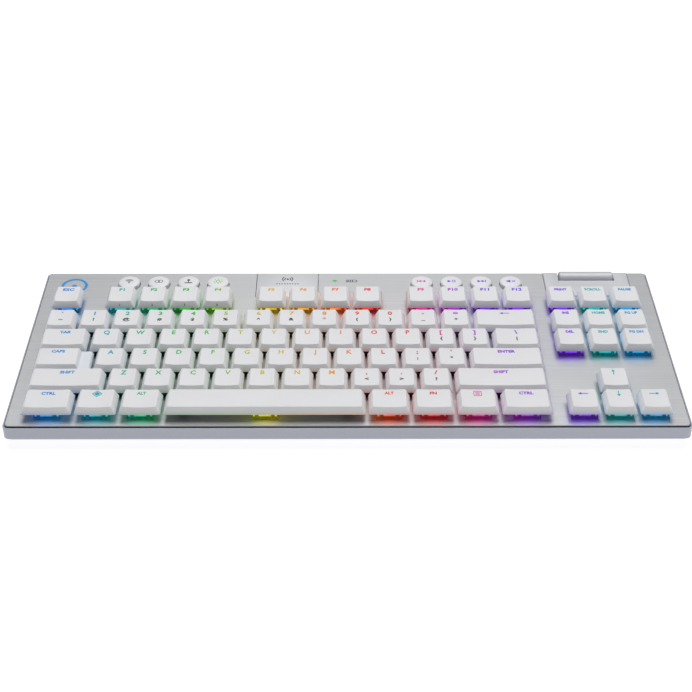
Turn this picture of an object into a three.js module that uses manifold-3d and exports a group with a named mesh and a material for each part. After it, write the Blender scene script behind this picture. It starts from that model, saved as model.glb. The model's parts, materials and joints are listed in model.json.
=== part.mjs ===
// A low-profile wireless mechanical keyboard without a number pad, in millimetres.
//
// The part's frame has +X to the typist's right, +Y away from the typist and +Z up. Its origin is on the
// desk, under the middle of the case.
//
// The keyboard has 87 keys. Keys that stand side by side and share a node are joined by small webs
// between their skirts.

import * as THREE from "three";
import { mergeVertices } from "three/addons/utils/BufferGeometryUtils.js";
import Module from "manifold-3d";

const wasm = await Module();
wasm.setup();

// ---- Driving dimensions -----------------------------------------------------------------------------

const PITCH = 19.05; // width of one key cell, three quarters of an inch
const FIT_GAP = 0.3; // clearance between neighbouring pieces
const CORNER_SEGMENTS = 8; // facets round each corner of the case and the plate

const CASE = {
  width: 368,
  depth: 151.2,
  radius: 3,
  bottom: 1, // the rubber pads hold the case this far off the desk
  bandBottom: 4.9, // below this height the walls slope inwards
  undercut: 7, // how far they have sloped in at the bottom
  edge: 0.7, // height of the small chamfer under the upright band
  wallTop: 12.6,
  rim: 0.7, // thickness of the wall that stands round the plate
  ledge: 11.7, // the plate lies just above this ledge inside the rim
  cavityInset: 4.4,
  cavityFloorInset: 8.5,
  cavitySlopeTop: 6.5,
  floor: 1.6,
};
const PLATE = { width: 365.6, depth: 148.8, radius: 2.2, bottom: 12, top: 13.5, chamfer: 0.3 };

const KEY = {
  top: 22,
  skirt: 4.2, // height of its sloping sides
  gap: 0.75, // from the cell's edge to the skirt, all round
  sideInset: 2.86, // from the cell's side to the face on top
  frontInset: 2.5,
  backInset: 1.4,
  wall: 0.8,
  roof: 1.3,
  travel: 2.7,
};
const SWITCH = {
  hole: 13.9,
  body: 13.5,
  top: 16.9,
  pocketFloor: 11.7,
  sheet: 0.5, // thickness of the sheet that joins the housings under the plate
  stemWidth: 10.2,
  stemDepth: 4.5,
  stemClearance: 0.3,
};
const STABILISER = { width: 3, depth: 4, reach: 12, spacebarReach: 44.5 };
const WEB = { width: 3.2, depth: 6, height: 0.8 };

const BLOCK_LEFT = -175.25; // left edge of the main block's cells
const BLOCK_FRONT = -71; // front edge of the bottom row's cells
const BLOCK_UNITS = 15;
const NAVIGATION_GAP = 6.98; // between the main block and the three columns on the right
const FUNCTION_ROW_GAP = 5.42; // extra space in front of the top row
const FUNCTION_GROUP_GAP = 2 / 3; // in key units, between the groups of the top row

const ROUND_BUTTON = { radius: 6.5, top: 15.9, bottom: 12.1, hole: 6.9, pitch: 18, y: 62 };
const ROLLER = { radius: 4.6, length: 32.6, y: 70.1, z: 12, bore: 1.4, axle: 1.2, cheek: 3, sideGap: 0.7 };
const ROLLER_PANEL = { width: 51.5, front: 48.9, top: 14.2, chamfer: 0.5 };
const ROLLER_ROOM_BOTTOM = 7;
const WINDOW = { x: -36.4, width: 37.2, front: 48.9 };
const EMBLEM = { radius: 8.4, x: -165.7, y: 60.4 };
const STATUS_LIGHT = { radius: 1.2, x: -7.6, y: 65.9 };

const SOCKET = { x: 60, z: 8.9, width: 9, height: 3.3, depth: 8.2, wall: 0.35 };
const SLIDER = { x: 88.5, z: 8.9, width: 4.4, height: 2.4, travel: 3, shoeWidth: 12, shoeHeight: 4.2 };

const FOOT = { x: 150, axisY: 62, axisZ: 3, thickness: 3.4, halfWidth: 15, arm: 4.2, tall: 19, short: 10 };
const FOOT_PIN = { radius: 1.1, bore: 1.25, length: 1.6 };
const FOOT_BAR = 4; // depth of the bar that joins the tall foot's arms
const FOOT_RECESS = { side: 0.4, front: 0.6, back: 2.4, top: 5.2, wall: 2.4, roof: 1.4 };

const PAD = { thickness: 1.6, pocketTop: 1.9 };
const PADS = {
  front_left_pad: { x: -130, y: -61, width: 60, depth: 8 },
  front_right_pad: { x: 130, y: -61, width: 60, depth: 8 },
  rear_left_pad: { x: -95, y: 62, width: 40, depth: 9 },
  rear_right_pad: { x: 95, y: 62, width: 40, depth: 9 },
};

const BOARD = { left: -178, right: 178, front: -69, back: 62.8, thickness: 1.2 };
const STIFFENER = { halfWidth: 176, front: -68, back: 60, thickness: 0.8 };
const BATTERY = { halfWidth: 55, front: 14, back: 56, thickness: 4.8 };

// ---- Materials --------------------------------------------------------------------------------------

function finish(color, roughness, metalness = 0) {
  return new THREE.MeshStandardMaterial({ color, roughness, metalness });
}

const MATERIALS = {
  keycap: finish(0xe6e7ea, 0.55),
  buttonWhite: finish(0xeeeff1, 0.4),
  aluminium: finish(0xc4c5c8, 0.35, 0.9),
  casePlastic: finish(0xa9adb8, 0.45, 0.2),
  windowPlastic: finish(0xd8d9dc, 0.5),
  rollerMetal: finish(0xa6a7ab, 0.4, 0.7),
  blueLens: finish(0x2f9fe0, 0.3),
  greenLens: finish(0x35c24a, 0.3),
  rubber: finish(0x3a3c40, 0.9),
  footPlastic: finish(0x8f939c, 0.5),
  steel: finish(0x8d9094, 0.35, 1),
  circuitBoard: finish(0x1f5b3a, 0.6),
  batteryWrap: finish(0x2a2c33, 0.5),
  switchPlastic: finish(0x30343a, 0.4),
};

// ---- Solids -----------------------------------------------------------------------------------------

function solidOf(geometry) {
  const bare = geometry.clone();
  bare.deleteAttribute("normal");
  bare.deleteAttribute("uv");
  const merged = mergeVertices(bare, 1e-4);
  return new wasm.Manifold(
    new wasm.Mesh({
      numProp: 3,
      vertProperties: merged.attributes.position.array,
      triVerts: new Uint32Array(merged.index.array),
    }),
  );
}

function geometryOf(solid) {
  const mesh = solid.getMesh();
  const geometry = new THREE.BufferGeometry();
  geometry.setAttribute("position", new THREE.BufferAttribute(mesh.vertProperties, 3));
  geometry.setIndex(new THREE.BufferAttribute(mesh.triVerts, 1));
  const faceted = geometry.toNonIndexed();
  faceted.computeVertexNormals();
  return faceted;
}

function joined(solids) {
  return solids.reduce((whole, solid) => whole.add(solid));
}

function cutBy(solid, cutters) {
  return cutters.reduce((rest, cutter) => rest.subtract(cutter), solid);
}

// A box from its lowest to its highest corner.
function box([x0, y0, z0], [x1, y1, z1]) {
  const geometry = new THREE.BoxGeometry(x1 - x0, y1 - y0, z1 - z0);
  return solidOf(geometry.translate((x0 + x1) / 2, (y0 + y1) / 2, (z0 + z1) / 2));
}

// A box centred on x and y, from z0 to z1.
function block(x, y, width, depth, z0, z1) {
  return box([x - width / 2, y - depth / 2, z0], [x + width / 2, y + depth / 2, z1]);
}

function rectangle(width, depth, radius = 0) {
  const [a, b, r] = [width / 2, depth / 2, radius];
  const shape = new THREE.Shape();
  if (r === 0) {
    shape.moveTo(-a, -b).lineTo(a, -b).lineTo(a, b).lineTo(-a, b);
    return shape;
  }
  shape.absarc(a - r, -b + r, r, -Math.PI / 2, 0);
  shape.absarc(a - r, b - r, r, 0, Math.PI / 2);
  shape.absarc(-a + r, b - r, r, Math.PI / 2, Math.PI);
  shape.absarc(-a + r, -b + r, r, Math.PI, 1.5 * Math.PI);
  return shape;
}

// A plan outline extruded upwards from z0 to z1.
function upright(shape, z0, z1, curveSegments = 1) {
  const options = { depth: z1 - z0, bevelEnabled: false, curveSegments };
  return new THREE.ExtrudeGeometry(shape, options).translate(0, 0, z0);
}

// A rounded rectangle that changes its size evenly from `low` to `high`, each { z, width, depth, y }.
function frustum(low, high, radius = 0, curveSegments = 1) {
  const geometry = upright(rectangle(low.width, low.depth, radius), low.z, high.z, curveSegments);
  const position = geometry.attributes.position;
  for (let i = 0; i < position.count; i++) {
    if (position.getZ(i) < (low.z + high.z) / 2) {
      position.setY(i, position.getY(i) + low.y);
    } else {
      position.setX(i, (position.getX(i) * high.width) / low.width);
      position.setY(i, (position.getY(i) * high.depth) / low.depth + high.y);
    }
  }
  return geometry;
}

// Turns an outline drawn in (y, z) and extruded along its own z into one that runs along X from x0.
const ALONG_X = new THREE.Matrix4().set(0, 0, 1, 0, 1, 0, 0, 0, 0, 1, 0, 0, 0, 0, 0, 1);

function sideways(profile, x0, x1, curveSegments = 4) {
  const geometry = upright(profile, 0, x1 - x0, curveSegments);
  return solidOf(geometry.applyMatrix4(ALONG_X).translate(x0, 0, 0));
}

function rod(radius, x0, x1, y, z, sides = 12) {
  const geometry = new THREE.CylinderGeometry(radius, radius, x1 - x0, sides);
  return solidOf(geometry.rotateZ(Math.PI / 2).translate((x0 + x1) / 2, y, z));
}

function disc(radius, x, y, z0, z1, sides = 16) {
  const geometry = new THREE.CylinderGeometry(radius, radius, z1 - z0, sides);
  return solidOf(geometry.rotateX(Math.PI / 2).translate(x, y, (z0 + z1) / 2));
}

// ---- Where the keys stand ---------------------------------------------------------------------------

// Each row lists its runs from left to right. A run is one node: its name and the widths of its keys in
// key units. A bare number is an empty space.
const ones = (count) => Array(count).fill(1);
const ROWS = [
  {
    main: [
      ["left_ctrl_key", [1.5]],
      ["left_system_key", [1.25]],
      ["left_alt_key", [1.25]],
      ["spacebar", [5.75]],
      ["right_alt_key", [1.25]],
      ["function_key", [1.25]],
      ["menu_key", [1.25]],
      ["right_ctrl_key", [1.5]],
    ],
    navigation: [
      ["left_arrow_key", [1]],
      ["down_arrow_key", [1]],
      ["right_arrow_key", [1]],
    ],
  },
  {
    main: [
      ["left_shift_key", [2.25]],
      ["lower_letter_keys", ones(10)],
      ["right_shift_key", [2.75]],
    ],
    navigation: [1, ["up_arrow_key", [1]]],
  },
  {
    main: [
      ["caps_lock_key", [1.75]],
      ["home_letter_keys", ones(11)],
      ["enter_key", [2.25]],
    ],
    navigation: [],
  },
  {
    main: [
      ["tab_key", [1.5]],
      ["upper_letter_keys", ones(12)],
      ["backslash_key", [1.5]],
    ],
    navigation: [["delete_end_page_down_keys", ones(3)]],
  },
  {
    main: [
      ["number_keys", ones(13)],
      ["backspace_key", [2]],
    ],
    navigation: [["insert_home_page_up_keys", ones(3)]],
  },
  {
    main: [
      ["escape_key", [1]],
      FUNCTION_GROUP_GAP,
      ["f1_to_f4_keys", ones(4)],
      FUNCTION_GROUP_GAP,
      ["f5_to_f8_keys", ones(4)],
      FUNCTION_GROUP_GAP,
      ["f9_to_f12_keys", ones(4)],
    ],
    navigation: [["print_scroll_pause_keys", ones(3)]],
  },
];
const TOP_ROW = ROWS.length - 1;
const NAVIGATION_LEFT = BLOCK_LEFT + BLOCK_UNITS * PITCH + NAVIGATION_GAP;
const NAVIGATION_CENTRE = NAVIGATION_LEFT + 1.5 * PITCH;

function rowCentre(row) {
  return BLOCK_FRONT + (row + 0.5) * PITCH + (row === TOP_ROW ? FUNCTION_ROW_GAP : 0);
}

// The runs of one stretch of a row as { name, keys: [{ x, y, units }] }, at the middle of each cell.
function placeStretch(items, left, y) {
  const runs = [];
  let x = left;
  for (const item of items) {
    if (typeof item === "number") {
      x += item * PITCH;
      continue;
    }
    const [name, widths] = item;
    const keys = widths.map((units) => {
      x += units * PITCH;
      return { x: x - (units * PITCH) / 2, y, units };
    });
    runs.push({ name, keys });
  }
  return runs;
}

const RUNS = ROWS.flatMap((row, index) => [
  ...placeStretch(row.main, BLOCK_LEFT, rowCentre(index)),
  ...placeStretch(row.navigation, NAVIGATION_LEFT, rowCentre(index)),
]);
const ALL_KEYS = RUNS.flatMap((run) => run.keys);

function middleOf(name) {
  const { keys } = RUNS.find((run) => run.name === name);
  return (keys[0].x + keys[keys.length - 1].x) / 2;
}

// ---- Keys -------------------------------------------------------------------------------------------

const SKIRT_BOTTOM = KEY.top - KEY.skirt;
const ROOF_UNDERSIDE = KEY.top - KEY.roof;

// The outline of one key at height z, its sides moved in by `wall`.
function keyOutline(key, z, wall) {
  const share = (z - SKIRT_BOTTOM) / KEY.skirt;
  const side = THREE.MathUtils.lerp(KEY.gap, KEY.sideInset, share) + wall;
  const front = THREE.MathUtils.lerp(KEY.gap, KEY.frontInset, share) + wall;
  const back = THREE.MathUtils.lerp(KEY.gap, KEY.backInset, share) + wall;
  return {
    z,
    width: key.units * PITCH - 2 * side,
    depth: PITCH - front - back,
    y: (front - back) / 2,
  };
}

function keyPyramid(key, wall, z0, z1) {
  const geometry = frustum(keyOutline(key, z0, wall), keyOutline(key, z1, wall));
  return solidOf(geometry.translate(key.x, key.y, 0));
}

function stabiliserReach(units) {
  if (units > 5) return STABILISER.spacebarReach;
  return units >= 2 ? STABILISER.reach : 0;
}

// One keycap with the slider that runs in its switch, and the posts of its stabiliser if it is wide.
function keycap(key) {
  const overlap = 0.4; // how far the slider and the posts reach into the roof
  const shell = keyPyramid(key, 0, SKIRT_BOTTOM, KEY.top).subtract(
    keyPyramid(key, KEY.wall, SKIRT_BOTTOM - 0.01, ROOF_UNDERSIDE),
  );
  const stemBottom = SWITCH.pocketFloor + KEY.travel + SWITCH.stemClearance;
  const high = ROOF_UNDERSIDE + overlap;
  const stem = block(key.x, key.y, SWITCH.stemWidth, SWITCH.stemDepth, stemBottom, high);
  const reach = stabiliserReach(key.units);
  if (!reach) return shell.add(stem);
  const postBottom = PLATE.top + KEY.travel + FIT_GAP;
  const posts = [-reach, reach].map((side) =>
    block(key.x + side, key.y, STABILISER.width, STABILISER.depth, postBottom, high),
  );
  return joined([shell, stem, ...posts]);
}

// Small bars that join the skirts of neighbouring keys in one run.
function webs(keys) {
  return keys
    .slice(1)
    .map((key) =>
      block(
        key.x - (key.units * PITCH) / 2,
        key.y,
        WEB.width,
        WEB.depth,
        SKIRT_BOTTOM + 0.1,
        SKIRT_BOTTOM + 0.1 + WEB.height,
      ),
    );
}

function keyRun(run) {
  return joined([...run.keys.map(keycap), ...webs(run.keys)]);
}

// ---- Switches ---------------------------------------------------------------------------------------

// All switch housings, each with the pocket that its slider runs in, on the thin sheet that carries them.
function switchHousings() {
  const right = NAVIGATION_LEFT + 3 * PITCH;
  const back = rowCentre(TOP_ROW) + PITCH / 2;
  const sheetBottom = SWITCH.pocketFloor - SWITCH.sheet;
  const sheet = box([BLOCK_LEFT, BLOCK_FRONT + 1, sheetBottom], [right, back, SWITCH.pocketFloor]);
  const grown = 2 * SWITCH.stemClearance;
  const bodies = ALL_KEYS.map(({ x, y }) =>
    block(x, y, SWITCH.body, SWITCH.body, SWITCH.pocketFloor - 0.1, SWITCH.top).subtract(
      block(
        x,
        y,
        SWITCH.stemWidth + grown,
        SWITCH.stemDepth + grown,
        SWITCH.pocketFloor,
        SWITCH.top + 1,
      ),
    ),
  );
  return joined([sheet, ...bodies]);
}

// ---- Round buttons ----------------------------------------------------------------------------------

// Four buttons behind F1 to F4 and four behind F9 to F12.
const ROUND_BUTTONS = [
  ["f1_to_f4_keys", ["wireless_button", "pairing_button", "game_mode_button", "brightness_button"]],
  ["f9_to_f12_keys", ["previous_button", "play_button", "next_button", "mute_button"]],
].flatMap(([run, names]) =>
  names.map((name, i) => ({
    name,
    x: middleOf(run) + (i - (names.length - 1) / 2) * ROUND_BUTTON.pitch,
  })),
);

function roundButton(button) {
  const { radius, top, bottom, y } = ROUND_BUTTON;
  return disc(radius, button.x, y, bottom, top);
}

// ---- Top plate and what is let into it --------------------------------------------------------------

const PLATE_BACK = PLATE.depth / 2;

// The plate before its holes are cut, with a chamfer round its upper edge.
function plateBlank() {
  const { width, depth, radius, bottom, top, chamfer } = PLATE;
  const slab = solidOf(upright(rectangle(width, depth, radius), bottom, top, CORNER_SEGMENTS));
  const inset = (z) => chamfer + z - top;
  const at = (z) => ({ z, width: width - 2 * inset(z), depth: depth - 2 * inset(z), y: 0 });
  return slab.intersect(solidOf(frustum(at(bottom - 1), at(top + 1), radius, CORNER_SEGMENTS)));
}

// A rectangular panel from its front edge back to `back`, grown by a margin.
function panelBox(panel, x, back, z0, z1, margin = 0) {
  const { width, front } = panel;
  return box([x - width / 2 - margin, front - margin, z0], [x + width / 2 + margin, back, z1]);
}

function topPlate() {
  const [low, high] = [PLATE.bottom - 1, PLATE.top + 1];
  const holes = joined([
    ...ALL_KEYS.map(({ x, y }) => block(x, y, SWITCH.hole, SWITCH.hole, low, high)),
    ...ROUND_BUTTONS.map(({ x }) => disc(ROUND_BUTTON.hole, x, ROUND_BUTTON.y, low, high)),
    disc(STATUS_LIGHT.radius + FIT_GAP / 2, STATUS_LIGHT.x, STATUS_LIGHT.y, low, high, 12),
    disc(EMBLEM.radius + FIT_GAP / 2, EMBLEM.x, EMBLEM.y, low, high, 24),
    panelBox(ROLLER_PANEL, NAVIGATION_CENTRE, CASE.depth, low, high, FIT_GAP),
    panelBox(WINDOW, WINDOW.x, CASE.depth, low, high, FIT_GAP),
  ]);
  return plateBlank().subtract(holes);
}

function antennaWindow() {
  const span = panelBox(WINDOW, WINDOW.x, CASE.depth, PLATE.bottom - 1, PLATE.top + 1);
  return plateBlank().intersect(span);
}

function emblemLight() {
  return disc(EMBLEM.radius, EMBLEM.x, EMBLEM.y, PLATE.bottom, PLATE.top, 24);
}

function statusLight() {
  const { radius, x, y } = STATUS_LIGHT;
  return disc(radius, x, y, PLATE.bottom, PLATE.top, 12);
}

// ---- Volume roller ----------------------------------------------------------------------------------

const ROLLER_LEFT = NAVIGATION_CENTRE - ROLLER.length / 2;
const ROLLER_RIGHT = NAVIGATION_CENTRE + ROLLER.length / 2;
const CHEEK_LEFT = ROLLER_LEFT - ROLLER.sideGap - ROLLER.cheek;
const CHEEK_RIGHT = ROLLER_RIGHT + ROLLER.sideGap + ROLLER.cheek;
const CHEEK_BOTTOM = ROLLER.z - ROLLER.axle - 1.6;
const SLOT_FRONT = ROLLER.y - ROLLER.radius - 0.4;

// The slot that the roller turns in, open at the back.
function rollerSlot(z0, z1) {
  return box(
    [ROLLER_LEFT - ROLLER.sideGap, SLOT_FRONT, z0],
    [ROLLER_RIGHT + ROLLER.sideGap, CASE.depth, z1],
  );
}

// The raised light panel, with a cheek at each end of the slot that holds the roller's axle.
function rollerPanel() {
  const { width, front, top, chamfer } = ROLLER_PANEL;
  const size = (inset) => ({ width: width - 2 * inset, depth: PLATE_BACK - front - 2 * inset });
  const at = (z) => ({ z, ...size(Math.max(0, chamfer + z - top)), y: 0 });
  const lower = upright(rectangle(width, PLATE_BACK - front), PLATE.bottom, top - chamfer);
  const upper = frustum(at(top - chamfer), at(top));
  const skin = solidOf(lower).add(solidOf(upper));
  const cheeks = box(
    [CHEEK_LEFT, ROLLER.y - 3, CHEEK_BOTTOM],
    [CHEEK_RIGHT, ROLLER.y + 3, PLATE.bottom + 0.5],
  );
  const middle = (front + PLATE_BACK) / 2;
  return cutBy(skin.translate([NAVIGATION_CENTRE, middle, 0]).add(cheeks), [
    rollerSlot(CHEEK_BOTTOM - 1, top + 1),
    rod(ROLLER.axle + FIT_GAP / 2, CHEEK_LEFT - 1, CHEEK_RIGHT + 1, ROLLER.y, ROLLER.z),
  ]);
}

function volumeRoller() {
  const drum = rod(ROLLER.radius, ROLLER_LEFT, ROLLER_RIGHT, ROLLER.y, ROLLER.z, 24);
  return drum.subtract(rod(ROLLER.bore, ROLLER_LEFT - 1, ROLLER_RIGHT + 1, ROLLER.y, ROLLER.z));
}

function rollerAxle() {
  return rod(ROLLER.axle, CHEEK_LEFT + 0.4, CHEEK_RIGHT - 0.4, ROLLER.y, ROLLER.z);
}

// ---- Case -------------------------------------------------------------------------------------------

function footRecess(side) {
  const centre = side * FOOT.x;
  const reach = FOOT.halfWidth + FOOT_RECESS.side;
  return {
    low: [centre - reach, FOOT.axisY - FOOT.tall - FOOT_RECESS.front, 0],
    high: [centre + reach, FOOT.axisY + FOOT_RECESS.back, FOOT_RECESS.top],
  };
}

// The box that stands on the case's floor round a foot's recess.
function footHousing({ low, high }) {
  const { wall, roof } = FOOT_RECESS;
  return box([low[0] - wall, low[1] - wall, CASE.bottom], [high[0] + wall, high[1] + wall, high[2] + roof]);
}

function footPinBore({ low, high }) {
  const reach = FOOT_PIN.length - 0.2;
  return rod(FOOT_PIN.bore, low[0] - reach, high[0] + reach, FOOT.axisY, FOOT.axisZ);
}

function padPocket(pad) {
  return block(pad.x, pad.y, pad.width + 2 * FIT_GAP, pad.depth + 2 * FIT_GAP, 0, PAD.pocketTop);
}

// An opening through the back wall, from x0 to x1 and `height` high about z.
function backOpening(x0, x1, z, height) {
  const half = height / 2 + FIT_GAP;
  return box([x0 - FIT_GAP, CASE.depth / 2 - 8, z - half], [x1 + FIT_GAP, CASE.depth, z + half]);
}

// The tray's plan at height z, moved in by `inset`.
function trayOutline(z, inset) {
  return { z, width: CASE.width - 2 * inset, depth: CASE.depth - 2 * inset, y: 0 };
}

// Everything inside walls that slope in by `run` for each millimetre below the height `start`.
function insideSlopes(start, run) {
  const at = (z) => trayOutline(z, run * (start - z));
  return solidOf(frustum(at(CASE.bottom - 1), at(CASE.wallTop + 1), CASE.radius, CORNER_SEGMENTS));
}

function baseTray() {
  const { radius, bottom, bandBottom, undercut, edge, wallTop, rim, ledge } = CASE;
  const { cavityInset, cavityFloorInset, cavitySlopeTop, floor } = CASE;
  const plan = (inset, z0, z1, corner) => {
    const { width, depth } = trayOutline(z0, inset);
    return solidOf(upright(rectangle(width, depth, corner), z0, z1, CORNER_SEGMENTS));
  };
  const shell = plan(0, bottom, wallTop, radius)
    .intersect(insideSlopes(bandBottom, undercut / (bandBottom - bottom)))
    .intersect(insideSlopes(bandBottom + edge, 1));
  const seat = plan(rim, ledge, wallTop + 1, radius - rim);
  const cavity = plan(cavityInset, cavitySlopeTop - 0.1, wallTop + 1, 1);
  const cavityFloor = frustum(
    trayOutline(bottom + floor, cavityFloorInset),
    trayOutline(cavitySlopeTop, cavityInset),
  );

  const recesses = [-1, 1].map(footRecess);
  const hollowed = cutBy(shell, [seat, cavity, solidOf(cavityFloor)]);
  return cutBy(joined([hollowed, ...recesses.map(footHousing)]), [
    ...recesses.map(({ low, high }) => box(low, high)),
    ...recesses.map(footPinBore),
    ...Object.values(PADS).map(padPocket),
    backOpening(SOCKET.x - SOCKET.width / 2, SOCKET.x + SOCKET.width / 2, SOCKET.z, SOCKET.height),
    backOpening(
      SLIDER.x - SLIDER.width / 2,
      SLIDER.x + SLIDER.width / 2 + SLIDER.travel,
      SLIDER.z,
      SLIDER.height,
    ),
    rollerSlot(ROLLER_ROOM_BOTTOM, wallTop + 1),
    box(
      [CHEEK_LEFT - FIT_GAP, SLOT_FRONT, CHEEK_BOTTOM - FIT_GAP],
      [CHEEK_RIGHT + FIT_GAP, ROLLER.y + 3 + FIT_GAP, wallTop + 1],
    ),
  ]);
}

// ---- Inside the case --------------------------------------------------------------------------------

const BOARD_TOP = SWITCH.pocketFloor - SWITCH.sheet - FIT_GAP;
const STIFFENER_TOP = BOARD_TOP - BOARD.thickness - FIT_GAP;
const BATTERY_TOP = STIFFENER_TOP - STIFFENER.thickness - FIT_GAP;

function circuitBoard() {
  const { left, right, front, back, thickness } = BOARD;
  return box([left, front, BOARD_TOP - thickness], [right, back, BOARD_TOP]);
}

function stiffenerPlate() {
  const { halfWidth, front, back, thickness } = STIFFENER;
  return box([-halfWidth, front, STIFFENER_TOP - thickness], [halfWidth, back, STIFFENER_TOP]);
}

function battery() {
  const { halfWidth, front, back, thickness } = BATTERY;
  return box([-halfWidth, front, BATTERY_TOP - thickness], [halfWidth, back, BATTERY_TOP]);
}

// The charging socket: a flat sleeve with a closed back and a contact tongue in its mouth.
function chargingSocket() {
  const { x, z, width, height, depth, wall } = SOCKET;
  const mouth = CASE.depth / 2 - FIT_GAP;
  const back = mouth - depth;
  const tongue = { back: back + 0.5, front: mouth - 1.2, halfWidth: 3.3, halfHeight: 0.35 };
  const sleeve = box([x - width / 2, back, z - height / 2], [x + width / 2, mouth, z + height / 2]);
  const inside = box(
    [x - width / 2 + wall, back + 1, z - height / 2 + wall],
    [x + width / 2 - wall, mouth + 1, z + height / 2 - wall],
  );
  const contacts = box(
    [x - tongue.halfWidth, tongue.back, z - tongue.halfHeight],
    [x + tongue.halfWidth, tongue.front, z + tongue.halfHeight],
  );
  return sleeve.subtract(inside).add(contacts);
}

// The power switch: a small knob in the back wall on a wider shoe behind it.
function powerSlider() {
  const { x, z, width, height, shoeWidth, shoeHeight } = SLIDER;
  const innerFace = CASE.depth / 2 - CASE.cavityInset - FIT_GAP;
  const outerFace = CASE.depth / 2 - 0.2;
  const knob = box(
    [x - width / 2, innerFace - 0.5, z - height / 2],
    [x + width / 2, outerFace, z + height / 2],
  );
  const shoe = box(
    [x - shoeWidth / 2, innerFace - 1.2, z - shoeHeight / 2],
    [x + shoeWidth / 2, innerFace, z + shoeHeight / 2],
  );
  return knob.add(shoe);
}

// ---- Feet and pads ----------------------------------------------------------------------------------

// Side view of a foot lying folded: round at its hinge, and `length` long towards the typist.
function footProfile(length) {
  const { axisY, axisZ, thickness } = FOOT;
  const r = thickness / 2;
  const bevel = 0.8;
  const profile = new THREE.Shape();
  profile.absarc(axisY, axisZ, r, -Math.PI / 2, Math.PI / 2);
  profile.lineTo(axisY - length, axisZ + r);
  profile.lineTo(axisY - length, axisZ - r + bevel);
  profile.lineTo(axisY - length + bevel, axisZ - r);
  return profile;
}

// The tall foot is a frame of two arms and a bar. Its pins turn in the tray, and its arms hold the short one.
function tallFoot(side) {
  const { axisY, axisZ, halfWidth, arm, tall, thickness } = FOOT;
  const x = side * FOOT.x;
  const inner = halfWidth - arm;
  const body = sideways(footProfile(tall), x - halfWidth, x + halfWidth);
  const reach = halfWidth + FOOT_PIN.length;
  const opening = box(
    [x - inner, axisY - tall + FOOT_BAR, axisZ - thickness],
    [x + inner, axisY + thickness, axisZ + thickness],
  );
  const boreReach = inner + FOOT_PIN.length;
  return cutBy(body.add(rod(FOOT_PIN.radius, x - reach, x + reach, axisY, axisZ)), [
    opening,
    rod(FOOT_PIN.bore, x - boreReach, x + boreReach, axisY, axisZ),
  ]);
}

function shortFoot(side) {
  const { axisY, axisZ, halfWidth, arm, short } = FOOT;
  const x = side * FOOT.x;
  const half = halfWidth - arm - 0.4;
  const body = sideways(footProfile(short), x - half, x + half);
  const reach = half + FOOT_PIN.length;
  return body.add(rod(FOOT_PIN.radius, x - reach, x + reach, axisY, axisZ));
}

function rubberPad(pad) {
  return block(pad.x, pad.y, pad.width, pad.depth, 0, PAD.thickness);
}

// ---- Assembly ---------------------------------------------------------------------------------------

const keyboard = new THREE.Group();

function addPiece(name, solid, material) {
  const mesh = new THREE.Mesh(geometryOf(solid), material);
  mesh.name = name;
  keyboard.add(mesh);
}

addPiece("top_plate", topPlate(), MATERIALS.aluminium);
addPiece("base_tray", baseTray(), MATERIALS.casePlastic);
addPiece("stiffener_plate", stiffenerPlate(), MATERIALS.steel);
addPiece("circuit_board", circuitBoard(), MATERIALS.circuitBoard);
addPiece("battery", battery(), MATERIALS.batteryWrap);
addPiece("switch_housings", switchHousings(), MATERIALS.switchPlastic);
addPiece("antenna_window", antennaWindow(), MATERIALS.windowPlastic);
addPiece("emblem_light", emblemLight(), MATERIALS.blueLens);
addPiece("status_light", statusLight(), MATERIALS.greenLens);
addPiece("roller_panel", rollerPanel(), MATERIALS.windowPlastic);
addPiece("volume_roller", volumeRoller(), MATERIALS.rollerMetal);
addPiece("roller_axle", rollerAxle(), MATERIALS.steel);
addPiece("charging_socket", chargingSocket(), MATERIALS.steel);
addPiece("power_slider", powerSlider(), MATERIALS.footPlastic);

for (const run of RUNS) addPiece(run.name, keyRun(run), MATERIALS.keycap);
for (const button of ROUND_BUTTONS) addPiece(button.name, roundButton(button), MATERIALS.buttonWhite);
for (const [name, pad] of Object.entries(PADS)) addPiece(name, rubberPad(pad), MATERIALS.rubber);

for (const [word, side] of [
  ["left", -1],
  ["right", 1],
]) {
  addPiece(`tall_foot_${word}`, tallFoot(side), MATERIALS.footPlastic);
  addPiece(`short_foot_${word}`, shortFoot(side), MATERIALS.footPlastic);
}

export default keyboard;
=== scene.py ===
# %% [markdown]
# # A low-profile mechanical keyboard
# The moving model comes first: every keycap, button, roller and foot already has its place and its
# travel there. This script dresses it. It loads that frame, builds finer meshes for what the hand and
# eye meet, and gives each piece a finish made from nodes. Lengths below are in millimetres, times MM.

# %% The frame
import json
import math

import bmesh
import bpy
from mathutils import Matrix, Vector


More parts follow.
